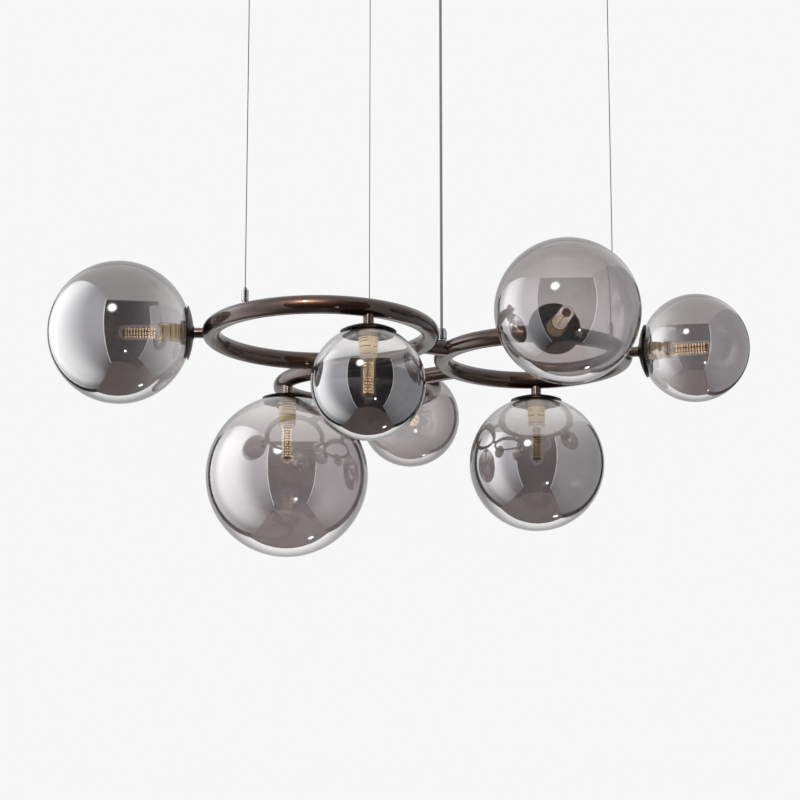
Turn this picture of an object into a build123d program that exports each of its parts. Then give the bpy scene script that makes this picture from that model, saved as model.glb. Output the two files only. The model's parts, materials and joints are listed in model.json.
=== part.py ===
"""Chandelier: three linked tube rings carrying seven glass globes, hung on three wires.

Millimetres, +Z up. The origin is on the ceiling, over the power cord, in the middle of the
ceiling bracket. The rings lie in one level plane below it. X runs to the right and Y away
from someone who faces the chandelier.
"""
import os
from math import acos, asin, cos, degrees, radians, sin, sqrt

from build123d import *

os.makedirs("parts", exist_ok=True)

# Rings and the links between them
DROP = 540.0  # ceiling to the plane of the rings
TUBE_R = 9.5
TUBE_WALL = 1.5
LEFT_RING_R = 115.0  # each ring's radius, to the middle of its tube
RIGHT_RING_R = 98.5
REAR_RING_R = 86.0
LEFT_RIGHT_GAP = 17.0  # clear run of each link, from tube to tube
LEFT_REAR_GAP = 14.5
RIGHT_REAR_GAP = 28.5
SPAN_TURN = 24.2  # degrees from +X to the line from the left ring to the right ring
LINK_R = 8.5
LINK_BORE_R = 6.0
SEAM_TURN = 125.0  # where each ring's tube is closed, away from its holes, in degrees from +X
SEAM_HALF = 35.0  # degrees round the tube, each way from its innermost line, to its long seams
WELD_GAP = 0.1  # between a link's saddle and the tube that it is brazed to
HOLE_DRAFT = 1.0  # degrees by which punched holes and flats widen outwards

# Globes, with the lamp's turn on its ring in degrees from +X
SMALL_GLOBE_R = 58.0
MEDIUM_GLOBE_R = 75.0
LARGE_GLOBE_R = 90.0
GLASS_WALL = 2.5
MOUTH_OUTER_R = 12.8  # moulded thread mouth, turned in at the top of a globe
MOUTH_BORE_R = 10.4
MOUTH_DEPTH = 11.4
LEFT_TURN = 181.8
FRONT_TURN = -63.6
RIGHT_FRONT_TURN = -82.3
RIGHT_TURN = -14.5
RIGHT_LOW_TURN = 85.3
BACK_TURN = 68.6
CENTRE_LOW_TURN = 205.4

# Stems and caps
STEM_GAP = 11.3  # from a ring's tube to the top of a globe
STEM_R = 5.5
STEM_BORE_R = 1.8
SPIGOT_R = 4.0  # both thinned ends of a stem
SPIGOT_DEPTH = 3.0
NIPPLE_LENGTH = 12.0
SPOT_CLEAR = 0.2  # a spot face is this much wider than what sits on it
SPOT_DEEP = 0.4  # and is cut deep enough to be flat this much wider still
FIT = 0.15  # round the spigots in their holes
CAP_RIM_R = 28.5
CAP_WALL = 1.2
CAP_BOSS_R = 7.0
CAP_BOSS_RISE = 0.5
GASKET_WALL = 0.6
GASKET_CLEAR = 0.4  # on each face of the gasket
GASKET_INNER_R = 15.5
GASKET_OUTER_R = 21.0
SEAT_BACK = 0.2  # the cap's inner flat stands this far above the globe's top

# Lampholders and bulbs, along a lamp's axis from the globe's top
BARREL_R = 9.9
BARREL_END = 20.5
BLOCK_R = 9.3
BLOCK_END = 32.3
BLOCK_FLAT = 8.4  # from the axis to each flat on the block
RECESS_R = 8.0
RECESS_DEPTH = 5.3
PIN_SPACING = 9.0
PIN_WIDTH = 4.2
PIN_THICK = 0.9
PIN_LENGTH = 6.5
PIN_CLEAR = 0.4  # all round a pin in its slot, and past its tip
BULB_BASE_R = 7.2
BULB_FLANGE_R = 7.6
BULB_FLANGE = 2.5
BULB_NECK = 6.5  # from the pins' root to the top of the flange
BULB_BOSS = 2.5
BULB_BOSS_R = 6.3
BULB_TIP = 76.0
COVER_WALL = 0.8
CORE_R = 5.0
CORE_LENGTH = 34.0
CORE_SIDES = 6

# Wires, grippers and ceiling cups, with the wire's turn on its ring
LEFT_WIRE_TURN = -130.5
REAR_WIRE_TURN = 82.0
RIGHT_WIRE_TURN = -31.5
WIRE_R = 0.5
WIRE_STOP_R = 2.5
WIRE_STOP = 4.0
WIRE_CLEAR = 0.3
GRIP_R = 3.6
GRIP_HEIGHT = 12.0
GRIP_NECK_R = 2.8
GRIP_NECK = 2.0
GRIP_SPIGOT_R = 2.2
GRIP_SPIGOT = 3.0
GRIP_CHAMFER = 0.5
PLUNGER_R = 2.1
PLUNGER_INSIDE = 4.0
PLUNGER_PROUD = 2.5
PLUNGER_TRAVEL = 1.5
PLUNGER_CLEAR = 0.4
CUP_R = 9.0
CUP_HEIGHT = 22.0
CUP_WALL = 1.8
CUP_FLOOR = 3.0
CUP_CHAMFER = 1.0
BASE_THICK = 5.0
BASE_CLEAR = 0.2

# Power cord, its gland, and the canopy on the ceiling
CORD_R = 1.5
CORD_SHIFT = 7.0  # from the middle of the left to right link towards the right ring
CORD_CLEAR = 0.4
GLAND_FLAT = 1.0  # depth of the flat that the gland stands on
GLAND_SPIGOT_R = 3.5
GLAND_SPIGOT = 4.0
GLAND_NECK_R = 4.0
GLAND_NECK = 2.0
GLAND_R = 5.6
GLAND_HEIGHT = 8.5
GLAND_NUT_R = 4.6
GLAND_NUT = 3.0
GLAND_GRIP = 9.0  # length of cord inside the gland
CANOPY_R = 55.0
CANOPY_HEIGHT = 28.0
CANOPY_WALL = 1.2
CANOPY_FILLET = 4.0
COLLAR_R = 6.0
COLLAR_HEIGHT = 10.0
COLLAR_CHAMFER = 1.0
BRACKET_LENGTH = 96.0
BRACKET_WIDTH = 22.0
BRACKET_THICK = 3.0
SCREW_SPACING = 70.0
SCREW_R = 2.0
SCREW_CLEAR = 0.25
TERMINAL_LENGTH = 30.0
TERMINAL_WIDTH = 18.0
TERMINAL_HEIGHT = 13.0
TERMINAL_STEP = 4.0

# Leads inside the tubes
LEAD_R = 1.2
LEAD_CLEAR = 0.3
TAIL_START = 2.0  # from the middle of the tube to where a lamp's tail begins

UP = Vector(0, 0, 1)
DOWN = Vector(0, 0, -1)
LEVEL = Vector(0, 0, -DROP)


def heading(turn):
    """Level unit vector at a turn in degrees from +X."""
    return Vector(cos(radians(turn)), sin(radians(turn)), 0)


# The three ring centres stand at the corners of a triangle that the radii and gaps fix.
left_right = LEFT_RING_R + RIGHT_RING_R + 2 * TUBE_R + LEFT_RIGHT_GAP
left_rear = LEFT_RING_R + REAR_RING_R + 2 * TUBE_R + LEFT_REAR_GAP
right_rear = RIGHT_RING_R + REAR_RING_R + 2 * TUBE_R + RIGHT_REAR_GAP
corner = degrees(acos((left_right**2 + left_rear**2 - right_rear**2) / (2 * left_right * left_rear)))
cord_from_left = LEFT_RING_R + TUBE_R + LEFT_RIGHT_GAP / 2 + CORD_SHIFT
left_centre = LEVEL - heading(SPAN_TURN) * cord_from_left
right_centre = left_centre + heading(SPAN_TURN) * left_right
rear_centre = left_centre + heading(SPAN_TURN + corner) * left_rear
RINGS = {
    "left": (left_centre, LEFT_RING_R),
    "right": (right_centre, RIGHT_RING_R),
    "rear": (rear_centre, REAR_RING_R),
}
LINKS = [("left", "right"), ("left", "rear"), ("right", "rear")]
WIRES = {"left": LEFT_WIRE_TURN, "rear": REAR_WIRE_TURN, "right": RIGHT_WIRE_TURN}
# Each lamp: its ring, its turn on the ring, whether it hangs down, and its globe's radius.
LAMPS = {
    "left": ("left", LEFT_TURN, False, MEDIUM_GLOBE_R),
    "front": ("left", FRONT_TURN, True, SMALL_GLOBE_R),
    "right_front": ("right", RIGHT_FRONT_TURN, False, MEDIUM_GLOBE_R),
    "right": ("right", RIGHT_TURN, False, SMALL_GLOBE_R),
    "right_low": ("right", RIGHT_LOW_TURN, True, MEDIUM_GLOBE_R),
    "back": ("rear", BACK_TURN, False, SMALL_GLOBE_R),
    "centre_low": ("rear", CENTRE_LOW_TURN, True, LARGE_GLOBE_R),
}

# Places along a lamp's axis, measured from the middle of the ring's tube
tube_bore_r = TUBE_R - TUBE_WALL
stem_seat = sqrt(TUBE_R**2 - (STEM_R + SPOT_CLEAR + SPOT_DEEP) ** 2)
pole = TUBE_R + STEM_GAP
cap_clear = GASKET_WALL + 2 * GASKET_CLEAR
crown = pole - cap_clear - CAP_WALL - CAP_BOSS_RISE
nipple_end = crown + NIPPLE_LENGTH
holder_seat = pole - SEAT_BACK
bulb_seat = pole + BLOCK_END - RECESS_DEPTH
bulb_shoulder = bulb_seat + BULB_NECK

# Heights of the fittings on top of the rings and of those on the ceiling
grip_seat = -DROP + sqrt(TUBE_R**2 - (GRIP_NECK_R + SPOT_CLEAR + SPOT_DEEP) ** 2)
grip_top = grip_seat + GRIP_NECK + GRIP_HEIGHT
plunger_bore = PLUNGER_INSIDE + PLUNGER_TRAVEL + PLUNGER_CLEAR
wire_foot = grip_seat + GRIP_NECK
cup_floor_top = -CUP_HEIGHT + CUP_FLOOR
gland_seat = -DROP + LINK_R - GLAND_FLAT
gland_top = gland_seat + GLAND_NECK + GLAND_HEIGHT + GLAND_NUT
cord_foot = gland_top - GLAND_GRIP
cord_head = -BRACKET_THICK - TERMINAL_HEIGHT


def on_ring(ring, turn):
    """Point on the middle line of a ring's tube."""
    centre, radius = RINGS[ring]
    return centre + heading(turn) * radius


def lamp_axis(lamp):
    """A lamp's axis, from the middle of the ring's tube out through the globe."""
    ring, turn, hangs, _ = LAMPS[lamp]
    return Axis(on_ring(ring, turn), DOWN if hangs else heading(turn))


def half_section(axis):
    """Plane through an axis: x is the distance from it and y runs along it."""
    out = heading(0) if abs(axis.direction.Z) > 0.5 else UP
    return Plane(axis.position, x_dir=out, z_dir=out.cross(axis.direction))


def across(axis, along, out=UP):
    """Plane square to an axis, at a distance along it, facing on along the axis."""
    return Plane(axis.position + axis.direction * along, x_dir=out, z_dir=axis.direction)


def lamp_plane(lamp, along):
    """Plane square to a lamp's axis, with x in the upright plane through the ring's centre."""
    _, turn, hangs, _ = LAMPS[lamp]
    return across(lamp_axis(lamp), along, heading(turn) if hangs else UP)


def on_sphere(radius, centre, r):
    """Place along the axis of the near side of a sphere, at a distance r from the axis."""
    return centre - sqrt(radius**2 - r**2)


def sphere_arc(radius, centre, start_r, end_r):
    """Arc in a half section over the near side of a sphere, between two distances from its axis."""
    first, last = degrees(asin(start_r / radius)), degrees(asin(end_r / radius))
    CenterArc((0, centre), radius, first - 90, last - first)


def drill(plane, radius, depth):
    """Cut a round hole into the part that is being made, widening a little along the plane's normal."""
    with BuildSketch(plane) as mouth:
        Circle(radius)
    extrude(mouth.sketch, amount=depth, taper=-HOLE_DRAFT, mode=Mode.SUBTRACT)


def tube_ring(centre, ring_r, tube_r, mode=Mode.ADD):
    """Round ring of a round section, with its seams on the inside, clear of every hole."""
    out = heading(SEAM_TURN)
    with BuildSketch(Plane(centre, x_dir=out, z_dir=out.cross(UP))) as section:
        with BuildLine():
            CenterArc((ring_r, 0), tube_r, 180 - SEAM_HALF, 2 * SEAM_HALF)
            CenterArc((ring_r, 0), tube_r, 180 + SEAM_HALF, 360 - 2 * SEAM_HALF)
        make_face()
    revolve(section.sketch, axis=Axis(centre, UP), mode=mode)


def save(piece, name):
    """Label a finished piece and write its file."""
    piece.label = name
    export_step(piece, f"parts/{name}.step")


# Rings: hollow tubes, with a hole and a flat for each lamp and wire and a lead hole at each link
for name, (centre, radius) in RINGS.items():
    with BuildPart() as ring:
        tube_ring(centre, radius, TUBE_R)
        for lamp, (lamp_ring, _, _, _) in LAMPS.items():
            if lamp_ring == name:
                drill(lamp_plane(lamp, 0), SPIGOT_R + FIT, 2 * TUBE_R)
                drill(lamp_plane(lamp, stem_seat), STEM_R + SPOT_CLEAR, TUBE_R)
        post = Axis(on_ring(name, WIRES[name]), UP)
        drill(across(post, 0, heading(WIRES[name])), GRIP_SPIGOT_R + FIT, 2 * TUBE_R)
        drill(across(post, grip_seat + DROP, heading(WIRES[name])), GRIP_NECK_R + SPOT_CLEAR, TUBE_R)
        for pair in LINKS:
            if name in pair:
                other, _ = RINGS[pair[1 - pair.index(name)]]
                towards = (other - centre).normalized()
                drill(across(Axis(centre + towards * radius, towards), 0), LINK_BORE_R, 2 * TUBE_R)
        tube_ring(centre, radius, tube_bore_r, Mode.SUBTRACT)
    save(ring.part, f"{name}_ring")

# Links: short tubes on the lines between ring centres, saddled to the rings at both ends
for first, second in LINKS:
    (start, start_r), (end, end_r) = RINGS[first], RINGS[second]
    towards = (end - start).normalized()
    line = Axis(start + towards * start_r, towards)
    with BuildPart() as link:
        with BuildSketch(across(line, 0)):
            Circle(LINK_R)
            Circle(LINK_BORE_R, mode=Mode.SUBTRACT)
        extrude(amount=(end - start).length - start_r - end_r)
        for centre, radius in (RINGS[first], RINGS[second]):
            with Locations(Location(centre)):
                Torus(radius, TUBE_R + WELD_GAP, mode=Mode.SUBTRACT)
        if (first, second) == ("left", "right"):
            drill(Plane(LEVEL), GLAND_SPIGOT_R + FIT, 2 * LINK_R)
            drill(Plane((0, 0, gland_seat)), GLAND_R + SPOT_CLEAR, LINK_R)
    save(link.part, f"{first}_{second}_link")

# Stems: seven alike, each seated on a ring's flat and on the crown of its cap
with BuildPart() as stems:
    for lamp in LAMPS:
        with BuildSketch(half_section(lamp_axis(lamp))):
            with BuildLine():
                Polyline(
                    (STEM_BORE_R, stem_seat - SPIGOT_DEPTH),
                    (SPIGOT_R, stem_seat - SPIGOT_DEPTH),
                    (SPIGOT_R, stem_seat),
                    (STEM_R, stem_seat),
                    (STEM_R, crown),
                    (SPIGOT_R, crown),
                    (SPIGOT_R, nipple_end),
                    (STEM_BORE_R, nipple_end),
                    close=True,
                )
            make_face()
        revolve(axis=lamp_axis(lamp))
save(stems.part, "lamp_stems")


def make_cap(lamp):
    """Thin dome over the top of a globe, with a flat inside for the lampholder."""
    globe_r = LAMPS[lamp][3]
    centre = pole + globe_r
    inner_r = globe_r + cap_clear
    outer_r = inner_r + CAP_WALL
    flat_r = sqrt(inner_r**2 - (globe_r + SEAT_BACK) ** 2)
    rim_r = CAP_RIM_R * inner_r / outer_r  # the rim's edge is square to the dome
    with BuildPart() as cap:
        with BuildSketch(half_section(lamp_axis(lamp))):
            with BuildLine():
                Polyline(
                    (flat_r, holder_seat),
                    (SPIGOT_R + FIT, holder_seat),
                    (SPIGOT_R + FIT, crown),
                    (CAP_BOSS_R, crown),
                    (CAP_BOSS_R, on_sphere(outer_r, centre, CAP_BOSS_R)),
                )
                sphere_arc(outer_r, centre, CAP_BOSS_R, CAP_RIM_R)
                Line(
                    (CAP_RIM_R, on_sphere(outer_r, centre, CAP_RIM_R)),
                    (rim_r, on_sphere(inner_r, centre, rim_r)),
                )
                sphere_arc(inner_r, centre, flat_r, rim_r)
            make_face()
        revolve(axis=lamp_axis(lamp))
    save(cap.part, f"{lamp}_cap")


def make_gasket(lamp):
    """Soft washer between a cap and its globe, dished to both."""
    inner_r = LAMPS[lamp][3] + GASKET_CLEAR
    outer_r = inner_r + GASKET_WALL
    centre = pole + LAMPS[lamp][3]
    with BuildPart() as gasket:
        with BuildSketch(half_section(lamp_axis(lamp))):
            with BuildLine():
                for r in (GASKET_INNER_R, GASKET_OUTER_R):
                    Line((r, on_sphere(inner_r, centre, r)), (r, on_sphere(outer_r, centre, r)))
                sphere_arc(inner_r, centre, GASKET_INNER_R, GASKET_OUTER_R)
                sphere_arc(outer_r, centre, GASKET_INNER_R, GASKET_OUTER_R)
            make_face()
        revolve(axis=lamp_axis(lamp))
    save(gasket.part, f"{lamp}_gasket")


def make_globe(lamp):
    """Glass ball with a moulded mouth turned in round the lampholder's barrel."""
    outer_r = LAMPS[lamp][3]
    inner_r = outer_r - GLASS_WALL
    centre = pole + outer_r
    mouth_top = on_sphere(outer_r, centre, MOUTH_OUTER_R)
    mouth_end = pole + MOUTH_DEPTH
    outer_from = degrees(asin(MOUTH_OUTER_R / outer_r)) - 90
    inner_from = degrees(asin(MOUTH_OUTER_R / inner_r)) - 90
    with BuildPart() as globe:
        with BuildSketch(half_section(lamp_axis(lamp))):
            with BuildLine():
                Polyline(
                    (MOUTH_OUTER_R, mouth_top),
                    (MOUTH_BORE_R, mouth_top),
                    (MOUTH_BORE_R, mouth_end),
                    (MOUTH_OUTER_R, mouth_end),
                    (MOUTH_OUTER_R, on_sphere(inner_r, centre, MOUTH_OUTER_R)),
                )
                CenterArc((0, centre), inner_r, inner_from, 90 - inner_from)
                Line((0, centre + inner_r), (0, centre + outer_r))
                CenterArc((0, centre), outer_r, outer_from, 90 - outer_from)
            make_face()
        revolve(axis=lamp_axis(lamp))
    save(globe.part, f"{lamp}_globe")


def make_holder(lamp):
    """Ceramic lampholder: threaded barrel, flat sided block, recess and two pin slots."""
    axis = lamp_axis(lamp)
    with BuildPart() as holder:
        with BuildSketch(half_section(axis)):
            with BuildLine():
                Polyline(
                    (0, nipple_end),
                    (SPIGOT_R + FIT, nipple_end),
                    (SPIGOT_R + FIT, holder_seat),
                    (BARREL_R, holder_seat),
                    (BARREL_R, pole + BARREL_END),
                    (BLOCK_R, pole + BARREL_END),
                    (BLOCK_R, pole + BLOCK_END),
                    (RECESS_R, pole + BLOCK_END),
                    (RECESS_R, bulb_seat),
                    (0, bulb_seat),
                    close=True,
                )
            make_face()
        revolve(axis=axis)
        with BuildSketch(lamp_plane(lamp, pole + BARREL_END)):
            Circle(2 * BLOCK_R)
            Rectangle(2 * BLOCK_FLAT, 4 * BLOCK_R, mode=Mode.SUBTRACT)
        extrude(amount=BLOCK_END, mode=Mode.SUBTRACT)
        with BuildSketch(lamp_plane(lamp, bulb_seat)):
            with Locations((0, PIN_SPACING / 2), (0, -PIN_SPACING / 2)):
                Rectangle(PIN_WIDTH + 2 * PIN_CLEAR, PIN_THICK + 2 * PIN_CLEAR)
        extrude(amount=-PIN_LENGTH - PIN_CLEAR, mode=Mode.SUBTRACT)
    save(holder.part, f"{lamp}_holder")


def make_bulb(lamp):
    """Pin base capsule: base with a six sided core and pins, under a clear domed cover."""
    axis = lamp_axis(lamp)
    boss_end = bulb_shoulder + BULB_BOSS
    dome_r = BULB_FLANGE_R - COVER_WALL
    dome_centre = pole + BULB_TIP - BULB_FLANGE_R
    with BuildPart() as bulb:
        with BuildSketch(half_section(axis)):
            with BuildLine():
                Polyline(
                    (0, bulb_seat),
                    (BULB_BASE_R, bulb_seat),
                    (BULB_BASE_R, bulb_shoulder - BULB_FLANGE),
                    (BULB_FLANGE_R, bulb_shoulder - BULB_FLANGE),
                    (BULB_FLANGE_R, bulb_shoulder),
                    (BULB_BOSS_R, bulb_shoulder),
                    (BULB_BOSS_R, boss_end),
                    (0, boss_end),
                    close=True,
                )
            make_face()
        revolve(axis=axis)
        with BuildSketch(lamp_plane(lamp, boss_end)):
            RegularPolygon(CORE_R, CORE_SIDES)
        extrude(amount=CORE_LENGTH)
        with BuildSketch(lamp_plane(lamp, bulb_seat)):
            with Locations((0, PIN_SPACING / 2), (0, -PIN_SPACING / 2)):
                Rectangle(PIN_WIDTH, PIN_THICK)
        extrude(amount=-PIN_LENGTH)
    with BuildPart() as cover:
        with BuildSketch(half_section(axis)):
            with BuildLine():
                Polyline(
                    (dome_r, dome_centre),
                    (dome_r, bulb_shoulder),
                    (BULB_FLANGE_R, bulb_shoulder),
                    (BULB_FLANGE_R, dome_centre),
                )
                CenterArc((0, dome_centre), BULB_FLANGE_R, 0, 90)
                Line((0, dome_centre + BULB_FLANGE_R), (0, dome_centre + dome_r))
                CenterArc((0, dome_centre), dome_r, 0, 90)
            make_face()
        revolve(axis=axis)
    save(Compound(children=[*bulb.part.solids(), *cover.part.solids()]), f"{lamp}_bulb")


for lamp in LAMPS:
    make_cap(lamp)
    make_gasket(lamp)
    make_globe(lamp)
    make_holder(lamp)
    make_bulb(lamp)

# Grippers: chrome barrels on top of the rings, each bored for its wire and its release plunger
with BuildPart() as grippers:
    for name, turn in WIRES.items():
        foot = on_ring(name, turn)
        stand = Axis((foot.X, foot.Y, 0), (0, 0, 1))
        with BuildSketch(half_section(stand)):
            with BuildLine():
                Polyline(
                    (0, grip_seat - GRIP_SPIGOT),
                    (GRIP_SPIGOT_R, grip_seat - GRIP_SPIGOT),
                    (GRIP_SPIGOT_R, grip_seat),
                    (GRIP_NECK_R, grip_seat),
                    (GRIP_NECK_R, wire_foot),
                    (GRIP_R, wire_foot),
                    (GRIP_R, grip_top - GRIP_CHAMFER),
                    (GRIP_R - GRIP_CHAMFER, grip_top),
                    (PLUNGER_R + PLUNGER_CLEAR, grip_top),
                    (PLUNGER_R + PLUNGER_CLEAR, grip_top - plunger_bore),
                    (WIRE_R + WIRE_CLEAR, grip_top - plunger_bore),
                    (WIRE_R + WIRE_CLEAR, wire_foot),
                    (0, wire_foot),
                    close=True,
                )
            make_face()
        revolve(axis=stand)
save(grippers.part, "wire_grippers")

# Plungers: pressed down into a gripper to let its wire run
for name, turn in WIRES.items():
    foot = on_ring(name, turn)
    with BuildPart() as plunger:
        with BuildSketch(Plane((foot.X, foot.Y, grip_top - PLUNGER_INSIDE))):
            Circle(PLUNGER_R)
            Circle(WIRE_R + WIRE_CLEAR, mode=Mode.SUBTRACT)
        extrude(amount=PLUNGER_INSIDE + PLUNGER_PROUD)
        chamfer(plunger.edges().group_by(Axis.Z)[-1].sort_by(SortBy.RADIUS)[-1], GRIP_CHAMFER)
    save(plunger.part, f"{name}_plunger")

# Wires: straight from the gripper's foot to a swaged stop on the floor of the ceiling cup
for name, turn in WIRES.items():
    foot = on_ring(name, turn)
    with BuildPart() as wire:
        with BuildSketch(Plane((foot.X, foot.Y, wire_foot))):
            Circle(WIRE_R)
        extrude(amount=cup_floor_top - wire_foot)
        with BuildSketch(Plane((foot.X, foot.Y, cup_floor_top))):
            Circle(WIRE_STOP_R)
        extrude(amount=WIRE_STOP)
    save(wire.part, f"{name}_wire")

# Ceiling cups, screwed up over round bases that hold to the ceiling
with BuildPart() as cups:
    for name, turn in WIRES.items():
        foot = on_ring(name, turn)
        stand = Axis((foot.X, foot.Y, 0), (0, 0, 1))
        with BuildSketch(half_section(stand)):
            with BuildLine():
                Polyline(
                    (WIRE_R + WIRE_CLEAR, -CUP_HEIGHT),
                    (CUP_R - CUP_CHAMFER, -CUP_HEIGHT),
                    (CUP_R, -CUP_HEIGHT + CUP_CHAMFER),
                    (CUP_R, 0),
                    (CUP_R - CUP_WALL, 0),
                    (CUP_R - CUP_WALL, cup_floor_top),
                    (WIRE_R + WIRE_CLEAR, cup_floor_top),
                    close=True,
                )
            make_face()
        revolve(axis=stand)
save(cups.part, "ceiling_cups")

with BuildPart() as bases:
    for name, turn in WIRES.items():
        foot = on_ring(name, turn)
        with BuildSketch(Plane((foot.X, foot.Y, -BASE_THICK))):
            Circle(CUP_R - CUP_WALL - BASE_CLEAR)
            Circle(SCREW_R + SCREW_CLEAR, mode=Mode.SUBTRACT)
        extrude(amount=BASE_THICK)
save(bases.part, "cup_bases")

# Gland on the left to right link, and the cord that stands in it
stand = Axis((0, 0, 0), (0, 0, 1))
with BuildPart() as gland:
    with BuildSketch(half_section(stand)):
        with BuildLine():
            Polyline(
                (LEAD_R, gland_seat - GLAND_SPIGOT),
                (GLAND_SPIGOT_R, gland_seat - GLAND_SPIGOT),
                (GLAND_SPIGOT_R, gland_seat),
                (GLAND_NECK_R, gland_seat),
                (GLAND_NECK_R, gland_seat + GLAND_NECK),
                (GLAND_R, gland_seat + GLAND_NECK),
                (GLAND_R, gland_top - GLAND_NUT),
                (GLAND_NUT_R, gland_top - GLAND_NUT),
                (GLAND_NUT_R, gland_top - GRIP_CHAMFER),
                (GLAND_NUT_R - GRIP_CHAMFER, gland_top),
                (CORD_R + CORD_CLEAR, gland_top),
                (CORD_R + CORD_CLEAR, cord_foot),
                (LEAD_R, cord_foot),
                close=True,
            )
        make_face()
    revolve(axis=stand)
save(gland.part, "cord_gland")

with BuildPart() as cord:
    with BuildSketch(Plane((0, 0, cord_foot))):
        Circle(CORD_R)
    extrude(amount=cord_head - cord_foot)
save(cord.part, "power_cord")

# Canopy cover with its cord collar, and what the cover hides
with BuildPart() as canopy:
    with BuildSketch(Plane((0, 0, -CANOPY_HEIGHT))):
        Circle(CANOPY_R)
    extrude(amount=CANOPY_HEIGHT)
    fillet(canopy.edges().group_by(Axis.Z)[0], CANOPY_FILLET)
    offset(amount=-CANOPY_WALL, openings=canopy.faces().sort_by(Axis.Z)[-1])
    drill(Plane((0, 0, -CANOPY_HEIGHT)), CORD_R + CORD_CLEAR, 2 * CANOPY_WALL)
save(canopy.part, "canopy_cover")

with BuildPart() as collar:
    with BuildSketch(Plane((0, 0, -CANOPY_HEIGHT - COLLAR_HEIGHT))):
        Circle(COLLAR_R)
        Circle(CORD_R + CORD_CLEAR, mode=Mode.SUBTRACT)
    extrude(amount=COLLAR_HEIGHT)
    chamfer(collar.edges().group_by(Axis.Z)[0].sort_by(SortBy.RADIUS)[-1], COLLAR_CHAMFER)
save(collar.part, "canopy_collar")

with BuildPart() as bracket:
    with BuildSketch(Plane((0, 0, -BRACKET_THICK))):
        SlotOverall(BRACKET_LENGTH, BRACKET_WIDTH)
        with Locations((SCREW_SPACING / 2, 0), (-SCREW_SPACING / 2, 0)):
            Circle(SCREW_R + SCREW_CLEAR, mode=Mode.SUBTRACT)
    extrude(amount=BRACKET_THICK)
save(bracket.part, "ceiling_bracket")

with BuildPart() as terminal:
    with BuildSketch(Plane((0, 0, cord_head))):
        Rectangle(TERMINAL_LENGTH, TERMINAL_WIDTH)
    extrude(amount=TERMINAL_HEIGHT)
    with BuildSketch(Plane((0, 0, cord_head))):
        with Locations((0, TERMINAL_WIDTH / 2), (0, -TERMINAL_WIDTH / 2)):
            Rectangle(TERMINAL_LENGTH, 2 * TERMINAL_STEP)
    extrude(amount=TERMINAL_STEP, mode=Mode.SUBTRACT)
save(terminal.part, "terminal_block")

# Leads: a loop in each ring, a run through each link and a tail in each stem
with BuildPart() as loom:
    loop_shift = tube_bore_r - LEAD_CLEAR - LEAD_R
    for centre, radius in RINGS.values():
        with Locations(Location(centre)):
            Torus(radius - loop_shift, LEAD_R)
    link_drop = LINK_BORE_R - LEAD_CLEAR - LEAD_R
    for first, second in LINKS:
        (start, start_r), (end, end_r) = RINGS[first], RINGS[second]
        towards = (end - start).normalized()
        with BuildSketch(Plane(start + towards * start_r - UP * link_drop, z_dir=towards)):
            Circle(LEAD_R)
        extrude(amount=(end - start).length - start_r - end_r)
    for lamp in LAMPS:
        with BuildSketch(lamp_plane(lamp, TAIL_START)):
            Circle(LEAD_R)
        extrude(amount=nipple_end - TAIL_START)
save(loom.part, "wiring_loom")
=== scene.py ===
"""Looks of the chandelier: smoked glass globes on linked bronze rings, in a pale studio.

Metres, in the part's own frame. Sizes of the lamp pieces are in millimetres, measured along a
lamp's axis from the top of its globe, and are turned to metres where a piece is made.
"""
import json
import math

import bmesh
import bpy
from mathutils import Matrix, Vector


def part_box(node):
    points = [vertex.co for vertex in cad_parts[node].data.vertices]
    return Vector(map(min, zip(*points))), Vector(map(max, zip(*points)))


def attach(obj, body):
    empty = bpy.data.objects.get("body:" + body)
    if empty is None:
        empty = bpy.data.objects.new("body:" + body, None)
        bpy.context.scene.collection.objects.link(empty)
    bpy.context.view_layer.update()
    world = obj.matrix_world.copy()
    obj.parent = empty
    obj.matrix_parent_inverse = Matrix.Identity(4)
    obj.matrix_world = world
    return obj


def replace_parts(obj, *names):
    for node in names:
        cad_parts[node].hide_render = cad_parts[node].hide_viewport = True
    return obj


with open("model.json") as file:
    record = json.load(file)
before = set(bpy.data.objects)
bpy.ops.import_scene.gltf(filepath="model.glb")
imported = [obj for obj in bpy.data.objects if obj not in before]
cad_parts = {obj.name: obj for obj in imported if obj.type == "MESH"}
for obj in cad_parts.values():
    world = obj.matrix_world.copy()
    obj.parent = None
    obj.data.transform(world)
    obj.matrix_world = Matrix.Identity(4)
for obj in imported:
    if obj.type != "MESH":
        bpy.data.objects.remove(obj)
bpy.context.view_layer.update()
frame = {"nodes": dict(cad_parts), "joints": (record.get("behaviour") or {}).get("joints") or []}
nodes = frame["nodes"]
scene = bpy.context.scene
scene.view_settings.view_transform = "Standard"

MM = 0.001
FULL_TURN = 2 * math.pi

# Each lamp's turn on its ring, in degrees from +X
LAMP_TURNS = {
    "left": 181.8,
    "front": -63.6,
    "right_front": -82.3,
    "right": -14.5,
    "right_low": 85.3,
    "back": 68.6,
    "centre_low": 205.4,
}
# Smoke in each globe: light let through once where it is densest, where it starts and is full as
# parts of the globe's length from its mouth, and the strength of its mirror film
LAMP_SMOKE = {
    "left": (0.28, -0.10, 0.52, 0.88),
    "front": (0.15, 0.29, 0.52, 0.92),
    "right_front": (0.49, 0.02, 0.50, 0.58),
    "right": (0.43, 0.08, 0.52, 0.66),
    "right_low": (0.38, 0.09, 0.46, 0.88),
    "back": (0.50, 0.05, 0.50, 0.50),
    "centre_low": (0.50, 0.05, 0.42, 0.84),
}
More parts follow.
